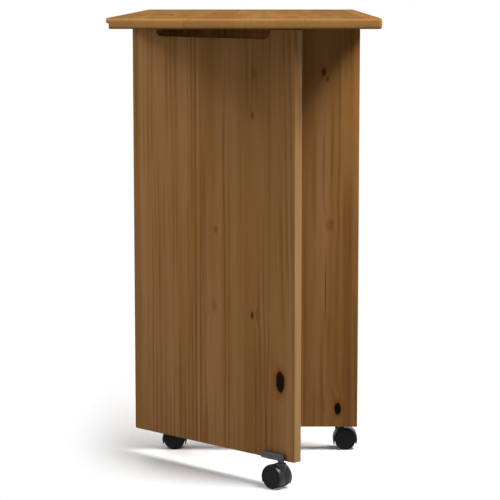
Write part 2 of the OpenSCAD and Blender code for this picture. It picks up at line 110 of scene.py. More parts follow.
floor_size = 240
floor_seen = 0.94
floor_bounce = 0.32
shadow_reach = 0.42
fade_reach = 0.8
fade_shape = (2.4, 1, 1)  # the shadow fades sooner to the sides than along the desk
bpy.ops.mesh.primitive_plane_add(size=floor_size)
floor = bpy.context.object
floor.name = "floor"
floor_paint, nodes, links, shader = new_material("pale_floor", 0.9)
shader.inputs["Specular IOR Level"].default_value = 0
place = add_node(nodes, "TexCoord")
oval = add_node(nodes, "VectorMath", operation="MULTIPLY")
oval.inputs[1].default_value = fade_shape
distance = add_node(nodes, "VectorMath", operation="LENGTH")
fade = add_node(nodes, "MapRange", interpolation_type="SMOOTHSTEP")
fade.inputs["From Min"].default_value = shadow_reach
fade.inputs["From Max"].default_value = fade_reach
shown = background_ray(nodes, links)
paint_level = add_node(nodes, "MapRange")
paint_level.inputs["To Min"].default_value = floor_bounce
paint_level.inputs["To Max"].default_value = floor_seen
links.new(shown, paint_level.inputs["Value"])
links.new(paint_level.outputs["Result"], shader.inputs["Base Color"])
seen = add_node(nodes, "Math", operation="MULTIPLY")
white = add_node(nodes, "Emission")
mix = add_node(nodes, "MixShader")
links.new(place.outputs["Object"], oval.inputs[0])
links.new(oval.outputs[0], distance.inputs[0])
links.new(distance.outputs["Value"], fade.inputs["Value"])
links.new(fade.outputs["Result"], seen.inputs[0])
links.new(shown, seen.inputs[1])
links.new(seen.outputs[0], mix.inputs["Fac"])
links.new(shader.outputs[0], mix.inputs[1])
links.new(white.outputs[0], mix.inputs[2])
links.new(mix.outputs[0], nodes["Material Output"].inputs["Surface"])
floor.data.materials.append(floor_paint)

sky_level = 0.05
sky = bpy.data.worlds.new("sky")
bpy.context.scene.world = sky
sky.use_nodes = True
nodes, links = sky.node_tree.nodes, sky.node_tree.links
level = add_node(nodes, "MapRange")
level.inputs["To Min"].default_value = sky_level
level.inputs["To Max"].default_value = 1
links.new(background_ray(nodes, links), level.inputs["Value"])
links.new(level.outputs["Result"], nodes["Background"].inputs["Strength"])
nodes["Background"].inputs["Color"].default_value = (1, 1, 1, 1)

# Each lamp: its turn from the camera's side towards the right, its height angle, how far off
# it stands, its width, and how brightly it lights a white face turned to it
lamp_target = Vector((0, 0, 0.4))
for name, turn, rise, reach, size, level in (
    ("right_lamp", 63, 57, 4.0, 1.9, 1.66),
    ("left_lamp", 268, 25, 3.6, 1.8, 0.17),
    ("high_left_lamp", 290, 40, 3.6, 1.8, 0.29),
    ("front_lamp", 335, 6, 4.3, 1.6, 0.04),
    ("rear_lamp", 190, 30, 4.0, 2.4, 0.55),
):
    turn, rise = math.radians(turn), math.radians(rise)
    flat = math.cos(rise)
    towards = Vector((flat * math.sin(turn), -flat * math.cos(turn), math.sin(rise)))
    bpy.ops.object.light_add(type="AREA", location=lamp_target + towards * reach)
    lamp = bpy.context.object
    lamp.name = name
    lamp.data.energy = level * (math.pi * reach) ** 2
    lamp.data.size = size
    lamp.rotation_euler = towards.to_track_quat("Z", "Y").to_euler()

# Fixed top. An edge-glued pine board 17 mm thick with a step under its left edge, stained
# honey brown and varnished satin. Its grain runs along the desk, its arrises are rounded,
# and its near edge is let in for the leaf's hinges. Cleats fix it to the panels.
top_arris = 1.2 * MM
top_round = 4 * MM
corner_round = 5.5 * MM
rebate_step = 4 * MM
rebate_lip = 8 * MM
leaf_hinge_length = 38 * MM
leaf_hinge_thick = 1.4 * MM
leaf_barrel = 1.9 * MM
recess_gap = 0.1 * MM
groove_gap = 0.4 * MM
joint_at = {joint["name"]: Vector(joint["pos_m"]) for joint in frame["joints"]}


def select_faces(test):
    """In edit mode, selects just the faces whose centre and normal pass a test."""
    bpy.ops.mesh.select_mode(type="FACE")
    bpy.ops.mesh.select_all(action="DESELECT")
    bpy.ops.object.mode_set(mode="OBJECT")
    for face in bpy.context.object.data.polygons:
        face.select = test(face.center, face.normal)
    bpy.ops.object.mode_set(mode="EDIT")


def select_edges(test):
    """In edit mode, selects just the edges whose two ends pass a test together."""
    bpy.ops.mesh.select_mode(type="EDGE")
    bpy.ops.mesh.select_all(action="DESELECT")
    bpy.ops.object.mode_set(mode="OBJECT")
    mesh = bpy.context.object.data
    for edge in mesh.edges:
        edge.select = test(*(mesh.vertices[i].co for i in edge.vertices))
    bpy.ops.object.mode_set(mode="EDIT")


def new_box(name, low, high):
    """A box between two corners, with its place in its mesh."""
    low, high = Vector(low), Vector(high)
    bpy.ops.object.select_all(action="DESELECT")
    bpy.ops.mesh.primitive_cube_add(size=1, location=(low + high) / 2, scale=high - low)
    bpy.ops.object.transform_apply()
    bpy.context.object.name = name
    return bpy.context.object


def new_rod(name, start, end, radius, end_radius=None, sides=48):
    """A round rod or cone between two points, with its place in its mesh."""
    start, end = Vector(start), Vector(end)
    turn = (end - start).to_track_quat("Z", "Y").to_euler()
    bpy.ops.object.select_all(action="DESELECT")
    bpy.ops.mesh.primitive_cone_add(
        vertices=sides, radius1=radius, radius2=radius if end_radius is None else end_radius,
        depth=(end - start).length, location=(start + end) / 2, rotation=turn,
    )
    bpy.ops.object.transform_apply()
    bpy.context.object.name = name
    return bpy.context.object


def work_on(piece):
    """Makes a piece the only one selected, and the active one."""
    bpy.ops.object.select_all(action="DESELECT")
    bpy.context.view_layer.objects.active = piece
    piece.select_set(True)


def apply_modifier(piece, kind, **settings):
    """Adds a modifier to a piece and applies it."""
    work_on(piece)
    bpy.ops.object.modifier_add(type=kind)
    modifier = piece.modifiers[-1]
    for name, value in settings.items():
        setattr(modifier, name, value)
    bpy.ops.object.modifier_apply(modifier=modifier.name)


def smooth(piece, angle=30):
    """Smooths a piece's shading, but for its sharp edges."""
    work_on(piece)
    bpy.ops.object.shade_smooth_by_angle(angle=math.radians(angle))


def round_edges(piece, width, segments=3, angle=40):
    """Rounds the sharp edges of a piece."""
    apply_modifier(
        piece, "BEVEL", width=width, segments=segments, limit_method="ANGLE",
        angle_limit=math.radians(angle),
    )
    smooth(piece)


def cut(piece, *cutters):
    """Cuts pieces out of a piece, and deletes them."""
    for cutter in cutters:
        apply_modifier(piece, "BOOLEAN", operation="DIFFERENCE", solver="EXACT", object=cutter)
        bpy.data.objects.remove(cutter)
    smooth(piece)


def finish_piece(piece, material, body, slot, *nodes):
    """Gives a piece its material and its body, and hides the CAD nodes that it stands for. The slot
    is not used.
    """
    piece.data.materials.clear()
    piece.data.materials.append(material)
    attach(piece, body)
    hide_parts(*nodes)


panel_tones = ("996f3d", "ac8052")
# The top's tones are set darker than the panels' as painted shade, on the same stained pine
top_shaded_tones = ("70522d", "826037")
# Edge tones: the paler edges are partly the wood's own and partly painted light
panel_edge_stain_and_light = "a78256"
top_edge_stain_and_light = "c29154"
late_wood = "6a421a"
red_stain = "99591f"
streak_and_shade_brown = "703d13"
knot_rim = "87481a"
knot_brown = "4a260c"
knot_black = "0b0402"
knot_stretch = 1.8
streak_fade = 90
pith_behind = 50 * MM


def pine(
    name, origin, turn, width, staves, knots=(), streaks_and_shade=(), tones=panel_tones, edge=panel_edge_stain_and_light,
    gloss=0.04,
):
    """Stained pine for one board. Its own axes are X across the grain, Y through the board and
    Z along the grain. Staves are (distance across in mm, lightness, redness), knots are (across,
    along, size and darkness, in mm) and each dark streak is (across, half width, start, end,
    strength); a broad, faint streak is painted shade. Tones are its darker and lighter early
    wood, and its edges are paler, partly sanded so and partly as painted light, unless edge is
    None."""
    material, nodes, links, shader = new_material(name, 0.5)
    shader.inputs["Specular IOR Level"].default_value = gloss

    def plug(sockets, values):
        """Links or sets each socket in turn."""
        for socket, value in zip(sockets, values):
            if isinstance(value, bpy.types.NodeSocket):
                links.new(value, socket)
            else:
                socket.default_value = value

    def reckon(operation, *values):
        """The result of one sum on values or sockets."""
        node = add_node(nodes, "Math", operation=operation)
        plug(node.inputs, values)
        return node.outputs[0]

    def remap(value, low, high, to_low=0.0, to_high=1.0):
        """Eases a value from one range into another. The first may run downwards."""
        node = add_node(nodes, "MapRange", interpolation_type="SMOOTHSTEP")
        plug(node.inputs, (value, low, high, to_low, to_high))
        return node.outputs["Result"]

    def blend(factor, a, b, kind="MIX"):
        """Mixes the second colour into the first."""
        node = add_node(nodes, "Mix", data_type="RGBA", blend_type=kind)
        plug((node.inputs[0], node.inputs[6], node.inputs[7]), (factor, a, b))
        return node.outputs[2]

    place = add_node(nodes, "TexCoord")
    board = add_node(nodes, "Mapping", vector_type="TEXTURE")
    board.inputs["Location"].default_value = origin
    board.inputs["Rotation"].default_value = turn
    links.new(place.outputs["Object"], board.inputs["Vector"])
    axes = add_node(nodes, "SeparateXYZ")
    links.new(board.outputs[0], axes.inputs[0])
    across, through, along = axes.outputs

    # One flat step of the ramp for each stave: its lightness, its grain's place and its redness
    golden = 0.618034
    ramp = add_node(nodes, "ValToRGB")
    steps = ramp.color_ramp.elements
    ramp.color_ramp.interpolation = "CONSTANT"
    links.new(reckon("DIVIDE", across, width), ramp.inputs["Fac"])
    steps.remove(steps[1])
    for i, (start, lightness, redness) in enumerate(staves):
        step = steps.new(start * MM / width) if i else steps[0]
        step.color = (lightness / 2, (0.17 + golden * (i + len(name))) % 1, redness, 1)
    stave = add_node(nodes, "SeparateColor")
    links.new(ramp.outputs["Color"], stave.inputs[0])
    lightness = reckon("ADD", stave.outputs[0], 0.5)
    seed, redness = stave.outputs[1], stave.outputs[2]

    def noise(stretch, shift, scale, detail):
        """Noise drawn out along the grain, which starts afresh in each stave."""
        vector = add_node(nodes, "CombineXYZ")
        own_across = reckon("ADD", across, reckon("MULTIPLY", seed, 3.1))
        own_through = reckon("ADD", through, shift)
        plug(vector.inputs, (own_across, own_through, reckon("MULTIPLY", along, stretch)))
        node = add_node(nodes, "TexNoise")
        links.new(vector.outputs[0], node.inputs["Vector"])
        node.inputs["Scale"].default_value = scale
        node.inputs["Detail"].default_value = detail
        return node.outputs[0]

    # Knots are round through the board and drawn out along the grain, and the grain bends by
    ragged = remap(noise(0.5, 2.3, 90, 2), 0.3, 0.7, -0.1, 0.1)
    eye, halo, bulge = 0.0, 0.0, 0.0
    for knot_across, knot_along, size, darkness in knots:
        a = reckon("DIVIDE", reckon("SUBTRACT", across, knot_across * MM), size * MM)
        b = reckon("DIVIDE", reckon("SUBTRACT", along, knot_along * MM), size * knot_stretch * MM)
        far = reckon("SQRT", reckon("ADD", reckon("POWER", a, 2.0), reckon("POWER", b, 2.0)))
        far = reckon("ADD", far, ragged)
        eye = reckon("MAXIMUM", reckon("MULTIPLY", remap(far, 0.86, 0.6), darkness), eye)
        halo = reckon("MAXIMUM", reckon("MULTIPLY", remap(far, 1.6, 0.6), darkness), halo)
        bulge = reckon("MAXIMUM", reckon("MULTIPLY", remap(far, 4.0, 0.3), darkness), bulge)

    # Growth rings round a heart that lies behind each stave at its own distance
    pith = add_node(nodes, "CombineXYZ")
    depth = reckon("SUBTRACT", reckon("ADD", through, pith_behind), reckon("MULTIPLY", bulge, 0.02))
    own_across = reckon("SUBTRACT", across, reckon("MULTIPLY", seed, width * 2.2))
    plug(pith.inputs, (own_across, depth, reckon("MULTIPLY", along, 0.12)))
    rings = add_node(nodes, "TexWave", wave_type="RINGS", rings_direction="Z", wave_profile="SAW")
    links.new(pith.outputs[0], rings.inputs["Vector"])
    rings.inputs["Scale"].default_value = 30
    rings.inputs["Distortion"].default_value = 13
    rings.inputs["Detail"].default_value = 3
    rings.inputs["Detail Scale"].default_value = 0.22
    ring = rings.outputs["Fac"]
    late = reckon("MULTIPLY", remap(ring, 0.35, 0.9), remap(ring, 0.99, 0.93))

    # The rings show less on sawn ends, and the edges are paler: stain taken less and painted light
    facing = add_node(nodes, "Mapping", vector_type="TEXTURE")
    facing.inputs["Rotation"].default_value = turn
    links.new(place.outputs["Normal"], facing.inputs["Vector"])
    side = add_node(nodes, "SeparateXYZ")
    links.new(facing.outputs[0], side.inputs[0])
    sawn = remap(reckon("ABSOLUTE", side.outputs[2]), 0.3, 0.8, 1.0, 0.25)
    late = reckon("MULTIPLY", late, sawn)
    edge_stain_and_light = remap(reckon("ABSOLUTE", side.outputs[1]), 0.9, 0.3)

    fibre = noise(0.012, 0.0, 620, 3)
    streak = noise(0.035, 0.4, 42, 3)
    band = noise(0.09, 0.9, 13, 2)
    patch = remap(noise(0.12, 1.7, 30, 3), 0.42, 0.64)

    tone = reckon("ADD", reckon("MULTIPLY", streak, 0.9), reckon("MULTIPLY", band, 0.8))
    body = blend(remap(tone, 0.62, 1.12), colour(tones[0]), colour(tones[1]))
    # Paler edges, partly sanded wood and partly painted light
    if edge:
        body = blend(edge_stain_and_light, body, colour(edge))
    body = blend(reckon("MULTIPLY", redness, 0.5), body, colour(red_stain))
    late = reckon("MULTIPLY", late, reckon("MULTIPLY", patch, 0.46))
    body = blend(late, body, colour(late_wood))
    body = blend(reckon("MULTIPLY", remap(fibre, 0.5, 0.75), 0.22), body, colour(late_wood))
    # Dark streaks of the grain; a broad, faint one stands for painted shade
    for middle, half, start, end, strength in streaks_and_shade:
        off = reckon("ABSOLUTE", reckon("SUBTRACT", across, middle * MM))
        mask = reckon("MULTIPLY", remap(off, half * MM, half * 0.3 * MM), strength)
        mask = reckon("MULTIPLY", mask, remap(along, start * MM, (start + streak_fade) * MM))
        mask = reckon("MULTIPLY", mask, remap(along, end * MM, (end - streak_fade) * MM))
        body = blend(mask, body, colour(streak_and_shade_brown))
    body = blend(reckon("MULTIPLY", halo, 0.7), body, colour(knot_rim))
    body = blend(eye, body, colour(knot_brown))
    body = blend(reckon("POWER", eye, 4.0), body, colour(knot_black))
    tint = add_node(nodes, "CombineColor")
    plug(tint.inputs, (lightness, lightness, lightness))
    body = blend(1.0, body, tint.outputs[0], "MULTIPLY")
    links.new(body, shader.inputs["Base Color"])

    bump = add_node(nodes, "Bump")
    bump.inputs["Strength"].default_value = 0.25
    bump.inputs["Distance"].default_value = 0.25 * MM
    links.new(reckon("SUBTRACT", fibre, late), bump.inputs["Height"])
    links.new(bump.outputs["Normal"], shader.inputs["Normal"])
    links.new(remap(fibre, 0.3, 0.8, 0.38, 0.5), shader.inputs["Roughness"])
    return material


def top_board(name, low, high, end_y):
    """A board of the top, with the lip drawn out to its left. Its right edge, and the edge at
    end_y, are rounded over above and below, with a rounded corner between them."""

    def same(a, b):
        return abs(a - b) < 0.01 * MM

    def is_corner(a, b):
        return all(same(end.x, high.x) and same(end.y, end_y) for end in (a, b))

    def is_outer(a, b):
        level = same(a.z, b.z) and (same(a.z, low.z) or same(a.z, high.z))
        at_left = same(a.x, b.x) and a.x < low.x + 2 * rebate_step
        at_seam = same(a.y, b.y) and not same(a.y, end_y)
        return level and not at_left and not at_seam

    board = new_box(name, (low.x + rebate_step, low.y, low.z), high)
    bpy.ops.object.mode_set(mode="EDIT")
    bpy.ops.mesh.select_all(action="SELECT")
    bpy.ops.mesh.bisect(plane_co=(0, 0, high.z - rebate_lip), plane_no=(0, 0, 1))
    select_faces(lambda centre, normal: normal.x < -0.9 and centre.z > high.z - rebate_lip)
    bpy.ops.mesh.extrude_region_move(TRANSFORM_OT_translate={"value": (-rebate_step, 0, 0)})
    select_edges(is_corner)
    bpy.ops.mesh.bevel(offset=corner_round, segments=6, affect="EDGES")
    select_edges(is_outer)
    bpy.ops.mesh.bevel(offset=top_round, segments=6, affect="EDGES")
    bpy.ops.object.mode_set(mode="OBJECT")
    round_edges(board, top_arris)
    return board


def leaf_hinge_recess():
    """For each leaf hinge, a flat cutter for its plates and a round one for its barrel."""
    pin = joint_at["leaf_fold"]
    fixed_low, fixed_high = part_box("leaf_hinge_fixed_plates")
    moving_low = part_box("leaf_hinge_moving_plates")[0]
    floor_z = top_high.z - leaf_hinge_thick
    reach = leaf_hinge_length + recess_gap
    for x in (fixed_low.x, fixed_high.x - leaf_hinge_length):
        yield new_box(
            "recess", (x - recess_gap, moving_low.y - recess_gap, floor_z),
            (x + reach, fixed_high.y + recess_gap, top_high.z + rebate_lip),
        )
        yield new_rod(
            "groove", (x - recess_gap, pin.y, pin.z), (x + reach, pin.y, pin.z),
            leaf_barrel + groove_gap,
        )


top_low, top_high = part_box("fixed_top")
leaf_low, leaf_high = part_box("leaf")
along_y = (-math.pi / 2, 0, 0)
# Its darker tones are painted shade, and its paler edges are partly painted light
top_pine = pine(
    "pine_top", (top_low.x, leaf_low.y, top_high.z), along_y, top_high.x - top_low.x,
    [(0, 1.02, 0.1), (44, 1.1, 0.05), (118, 0.98, 0.2), (190, 1.06, 0.1),
     (262, 1.0, 0.25), (331, 0.95, 0.15), (398, 1.04, 0.45)],
    knots=[(322, 110, 11, 0.5), (371, 91, 10, 0.45), (363, 387, 13, 0.7), (204, 188, 8, 0.4),
           (86, 655, 10, 0.8), (296, 884, 8, 0.7), (158, 948, 6, 0.6)],
    tones=top_shaded_tones, edge=top_edge_stain_and_light, gloss=0,
)
fixed_top = top_board("top_board", top_low, top_high, top_high.y)
cut(fixed_top, *leaf_hinge_recess())
finish_piece(fixed_top, top_pine, "frame", "pine_top", "fixed_top")

# Leaf. The near 260 mm of the same board, sawn off so that its grain runs on from the fixed
# top. Two hinges let in flush with the top surface fold it up and over.
leaf = top_board("leaf_board", leaf_low, leaf_high, leaf_low.y)
cut(leaf, *leaf_hinge_recess())
finish_piece(leaf, top_pine, "leaf", "pine_top", "leaf")

# Leaf hinges. Pressed butt hinges of satin brass, with countersunk screws of the same
# finish. Their plates lie flush and only their barrels stand above the top.


def paint(material, *names):
    """Gives CAD nodes a material."""
    for name in names:
        for slot in frame["nodes"][name].material_slots:
            slot.material = material


fine_relief = 0.1 * MM


def metal(name, base, shade, roughness, grain, metallic=0.95, gloss=0.5):
    """Plated or darkened metal: two tones of it in soft patches, and fine marks that dull it."""
    material, nodes, links, shader = new_material(name, roughness, metallic)
    shader.inputs["Specular IOR Level"].default_value = gloss
    place = add_node(nodes, "TexCoord")
    patches = add_node(nodes, "TexNoise")
    patches.inputs["Scale"].default_value = grain
    patches.inputs["Detail"].default_value = 4
    tones = add_node(nodes, "Mix", data_type="RGBA")
    tones.inputs[6].default_value, tones.inputs[7].default_value = colour(base), colour(shade)
    dulling = add_node(nodes, "MapRange")
    dulling.inputs["To Min"].default_value = roughness - 0.08
    dulling.inputs["To Max"].default_value = roughness + 0.14
    bump = add_node(nodes, "Bump")
    bump.inputs["Strength"].default_value = 0.12
    bump.inputs["Distance"].default_value = fine_relief
    links.new(place.outputs["Object"], patches.inputs["Vector"])
    links.new(patches.outputs[0], tones.inputs[0])
    links.new(patches.outputs[0], dulling.inputs["Value"])
    links.new(patches.outputs[0], bump.inputs["Height"])
    links.new(tones.outputs[2], shader.inputs["Base Color"])
    links.new(dulling.outputs["Result"], shader.inputs["Roughness"])
    links.new(bump.outputs["Normal"], shader.inputs["Normal"])
    return material


satin_brass = metal("satin_brass", "8a6234", "74522b", 0.6, 90, metallic=0.25, gloss=0.05)
paint(
    satin_brass, "leaf_hinge_fixed_plates", "leaf_hinge_moving_plates", "leaf_hinge_pins",
    "leaf_hinge_fixed_screws", "leaf_hinge_moving_screws",
)

# End panels. Two edge-glued pine boards with upright grain, in the same stain as the top; their
# tones are lighter than the top's, which are painted shade, and they look darker by light alone.
# Panel bolts go through each into the back panel's ends.
panel_arris = 1.5 * MM
bolt_head = 4.7 * MM
bolt_shank = 3.05 * MM
bolt_heights = (448, 543, 702.6)


def countersink(at, into, head, shank):
    """A cutter for a flush countersunk head at a point, going in along a direction."""
    at, into = Vector(at), Vector(into)
    proud = 0.2 * MM
    depth = head - shank + proud
    return new_rod("countersink", at - into * proud, at - into * proud + into * depth, head, shank)


near_low, near_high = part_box("near_end_panel")
far_low, far_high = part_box("far_end_panel")
back_low, back_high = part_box("back_panel")
bolt_x = (back_low.x + back_high.x) / 2
panel_width = near_high.x - near_low.x
near_pine = pine(
    "pine_near_end", near_low, (0, 0, 0), panel_width,
    [(0, 0.98, 0.2), (52, 0.93, 0.1), (118, 1.02, 0.15), (183, 0.95, 0.1),
     (246, 1.0, 0.3), (282, 1.03, 0.15), (345, 0.97, 0.3)],
    knots=[(336, 33, 7.8, 1.0), (309, 612, 5, 0.7), (315, 600, 3, 0.5), (321, 352, 7, 0.25),
           (122, 520, 8, 0.7)],
    streaks_and_shade=[(352, 12, -200, 470, 0.38), (262, 9, -200, 420, 0.35), (314, 1.6, 150, 330, 0.8)],
)
near_panel = new_box("near_end_board", near_low, near_high)
round_edges(near_panel, panel_arris)
cut(near_panel, *(
    countersink((bolt_x, near_low.y, z * MM), (0, 1, 0), bolt_head, bolt_shank)
    for z in bolt_heights
))
finish_piece(near_panel, near_pine, "frame", "pine_panel", "near_end_panel")

far_pine = pine(
    "pine_far_end", far_low, (0, 0, 0), panel_width,
    [(0, 1.0, 0.15), (61, 0.95, 0.2), (127, 1.03, 0.1), (195, 0.97, 0.2), (262, 1.0, 0.1),
     (318, 0.94, 0.25)],
    knots=[(88, 502, 10, 0.9), (226, 208, 8, 0.8), (292, 590, 7, 0.5)],
    streaks_and_shade=[(40, 7, 60, 560, 0.4)],
)
far_panel = new_box("far_end_board", far_low, far_high)
round_edges(far_panel, panel_arris)
cut(far_panel, *(
    countersink((bolt_x, far_high.y, z * MM), (0, -1, 0), bolt_head, bolt_shank)
    for z in bolt_heights
))
finish_piece(far_panel, far_pine, "frame", "pine_panel", "far_end_panel")

# Back panel. A pine board with its grain along the desk, between the end panels. It keeps
# the carcass square and is held by bolts and beech dowels in its ends.
back_turn = Matrix(((0, 1, 0), (0, 0, 1), (1, 0, 0))).to_euler()
back_pine = pine(
    "pine_back", back_low, back_turn, back_high.z - back_low.z,
    [(0, 0.97, 0.15), (66, 1.02, 0.1), (139, 0.95, 0.25), (204, 1.0, 0.1), (271, 0.97, 0.2),
     (338, 1.03, 0.1)],
    knots=[(98, 233, 9, 0.9), (301, 522, 11, 0.8), (188, 610, 6, 0.6)],
)
back_panel = new_box("back_board", back_low, back_high)
round_edges(back_panel, panel_arris)
finish_piece(back_panel, back_pine, "frame", "pine_panel", "back_panel")

beech, nodes, links, shader = new_material("beech", 0.6)
place = add_node(nodes, "TexCoord")
flecks = add_node(nodes, "TexNoise")
flecks.inputs["Scale"].default_value = 400
tones = add_node(nodes, "Mix", data_type="RGBA")
tones.inputs[6].default_value, tones.inputs[7].default_value = colour("d8b98a"), colour("b8925f")
links.new(place.outputs["Object"], flecks.inputs["Vector"])
links.new(flecks.outputs[0], tones.inputs[0])
links.new(tones.outputs[2], shader.inputs["Base Color"])
paint(beech, "back_panel_dowels")

# Cleats. Square pine battens under the top, one along each panel, with a row of countersunk
# screws up into the top and another out into the panel.
cleat_head = 3.9 * MM
cleat_shank = 2.05 * MM
cleat_arris = 1.2 * MM
up_shares = (0.12, 0.5, 0.88)
out_shares = (0.3, 0.7)
along_x = Matrix(((0, 0, 1), (1, 0, 0), (0, 1, 0))).to_euler()


def cleat(node, grain, outward):
    """One cleat, with its grain and length along X or Y and its panel on the outward side."""
    low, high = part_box(node)
    run = high - low
    run = Vector((run.x, 0, 0)) if run.x > run.y else Vector((0, run.y, 0))
    start = (low + high) / 2 - run / 2
    half = (high.z - low.z) / 2
    board = new_box(node + "_batten", low, high)
    round_edges(board, cleat_arris)
    holes = [
        countersink(start + run * share - Vector((0, 0, half)), (0, 0, 1), cleat_head, cleat_shank)
        for share in up_shares
    ]
    holes += [
        countersink(start + run * share - outward * half, outward, cleat_head, cleat_shank)
        for share in out_shares
    ]
    cut(board, *holes)
    material = pine("pine_" + node, low, grain, 2 * half, [(0, 0.96, 0.2)], edge=None)
    finish_piece(board, material, "frame", "pine_cleat", node)


cleat("near_cleat", along_x, Vector((0, -1, 0)))
cleat("far_cleat", along_x, Vector((0, 1, 0)))
cleat("back_cleat", along_y, Vector((-1, 0, 0)))

# Screws and bolts. Zinc-plated steel with cross recesses, all sunk flush: those of the cleats,
# the back panel, the gate hinges and the end panels' caster brackets.
zinc = metal("zinc_plate", "b9bcbf", "8e9296", 0.32, 220)
paint(
    zinc, "cleat_screws", "back_panel_bolts", "gate_hinge_fixed_screws",
    "gate_hinge_moving_screws", "end_panel_bracket_screws",
)

# Gate. A pine board that swings on the near end panel's left edge and stands partly open.
# Its top edge has a shallow hand cut-out with rounded lower corners, and its free edge, which
# faces the light, shows paler.
gate_open = math.radians(43)
gate_gap = 2 * MM
pin_offset = 3 * MM
gate_width = 370 * MM
gate_thick = near_high.y - near_low.y
cutout_start = 57 * MM
cutout_length = 258 * MM
cutout_depth = 15 * MM
cutout_corner = 12 * MM
pin = joint_at["gate_swing"]
gate_bottom, gate_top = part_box("gate_panel")[0].z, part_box("gate_panel")[1].z


def place_piece(piece, at, turn_z):
    """Turns a piece about the origin, moves it, and leaves its place in its mesh."""
    work_on(piece)
    piece.rotation_euler = (0, 0, turn_z)
    piece.location = at
    bpy.ops.object.transform_apply()


gate = new_box(
    "gate_board", (pin_offset, -gate_gap / 2 - gate_thick, gate_bottom),
    (pin_offset + gate_width, -gate_gap / 2, gate_top),
)
slot_low = Vector((pin_offset + cutout_start, -2 * gate_thick, gate_top - cutout_depth))
hand_slot = new_box(
    "hand_slot", slot_low, slot_low + Vector((cutout_length, 3 * gate_thick, 3 * cutout_depth))
)
bpy.ops.object.mode_set(mode="EDIT")
select_edges(lambda a, b: abs(a.y - b.y) > gate_thick and a.z < gate_top)
bpy.ops.mesh.bevel(offset=cutout_corner, segments=8, affect="EDGES")
bpy.ops.object.mode_set(mode="OBJECT")
cut(gate, hand_slot)
round_edges(gate, panel_arris, angle=50)
place_piece(gate, (pin.x, pin.y, 0), -gate_open)
gate_pine = pine(
    "pine_gate", (pin.x, pin.y, gate_bottom), (0, 0, -gate_open), pin_offset + gate_width,
    [(0, 0.98, 0.4), (18, 1.03, 0.1), (54, 1.0, 0.15), (112, 1.02, 0.1), (164, 0.97, 0.15),
     (212, 1.0, 0.1), (262, 0.97, 0.15), (322, 1.0, 0.1)],
    knots=[(343, 128, 12, 1.0), (281, 229, 4.5, 0.7), (199, 362, 4.5, 0.3), (281, 551, 4, 0.5),
           (284, 618, 7, 0.25), (196, 236, 7, 0.2)],
    # The last, broad streak is painted shade over the gate's lower part near its free edge
    streaks_and_shade=[(152, 2.2, -100, 760, 0.5), (163, 2, -100, 640, 0.55), (50, 1.3, -60, 420, 0.6),
             (313, 2, -100, 180, 0.45), (300, 60, -200, 230, 0.2)],
)
finish_piece(gate, gate_pine, "gate", "pine_panel", "gate_panel")

# Gate hinges. Three steel butt hinges screwed to the faces of the gate and the near end
# panel, with five knuckles on a loose pin.
hinge_steel = metal("hinge_steel", "a9abac", "7c7f82", 0.36, 150)
paint(hinge_steel, "gate_hinge_fixed_plates", "gate_hinge_moving_plates", "gate_hinge_pins")

# Caster brackets. Die-cast blocks with a round end that holds the swivel stem, in satin
# blue-grey paint, screwed through to the panel. Those of the end panels sit on the inner faces.
stem_hole = 3.6 * MM
socket_roof = 1.5 * MM
screw_head = 2.85 * MM
screw_shank = 1.55 * MM
bracket_screws = (0.36, 0.72)
bracket_arris = 0.5 * MM

bracket_paint, nodes, links, shader = new_material("bracket_paint", 0.42, metallic=0.25)
place = add_node(nodes, "TexCoord")
orange_peel = add_node(nodes, "TexNoise")
orange_peel.inputs["Scale"].default_value = 500
wear = add_node(nodes, "TexNoise")
wear.inputs["Scale"].default_value = 60
wear.inputs["Detail"].default_value = 5
tones = add_node(nodes, "Mix", data_type="RGBA")
tones.inputs[6].default_value, tones.inputs[7].default_value = colour("3d4146"), colour("4b5056")
bump = add_node(nodes, "Bump")
bump.inputs["Strength"].default_value = 0.15
bump.inputs["Distance"].default_value = fine_relief
links.new(place.outputs["Object"], orange_peel.inputs["Vector"])
links.new(place.outputs["Object"], wear.inputs["Vector"])
links.new(wear.outputs[0], tones.inputs[0])
links.new(tones.outputs[2], shader.inputs["Base Color"])
links.new(orange_peel.outputs[0], bump.inputs["Height"])
links.new(bump.outputs["Normal"], shader.inputs["Normal"])
paint(bracket_paint, "gate_bracket_screws")


def copy_of(piece, name):
    """A copy of a piece with its own mesh."""
    work_on(piece)
    bpy.ops.object.duplicate()
    bpy.context.object.name = name
    return bpy.context.object


bracket_low, bracket_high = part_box("far_right_bracket")
bracket_length = bracket_high.x - bracket_low.x
bracket_depth = bracket_high.y - bracket_low.y
bracket_end = bracket_depth / 2
bracket_middle = (bracket_low.z + bracket_high.z) / 2
bracket = new_box(
    "bracket", (bracket_end - bracket_length, -bracket_end, bracket_low.z),
    (bracket_end, bracket_end, bracket_high.z),
)
bpy.ops.object.mode_set(mode="EDIT")
select_edges(lambda a, b: min(a.x, b.x) > 0 and abs(a.z - b.z) > MM)
bpy.ops.mesh.bevel(offset=0.999 * bracket_end, segments=24, affect="EDGES")
bpy.ops.object.mode_set(mode="OBJECT")
round_edges(bracket, bracket_arris, segments=2)
cut(
    bracket,
    new_rod("socket", (0, 0, 0), (0, 0, bracket_high.z - socket_roof), stem_hole),
    *(
        countersink(
            (-share * bracket_length, -bracket_end, bracket_middle), (0, 1, 0),
            screw_head, screw_shank,
        )
        for share in bracket_screws
    ),
)
places = ("near_left", "near_right", "far_left", "far_right", "gate")


def middle(node):
    """The middle of a CAD node's box."""
    low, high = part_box(node)
    return (low + high) / 2


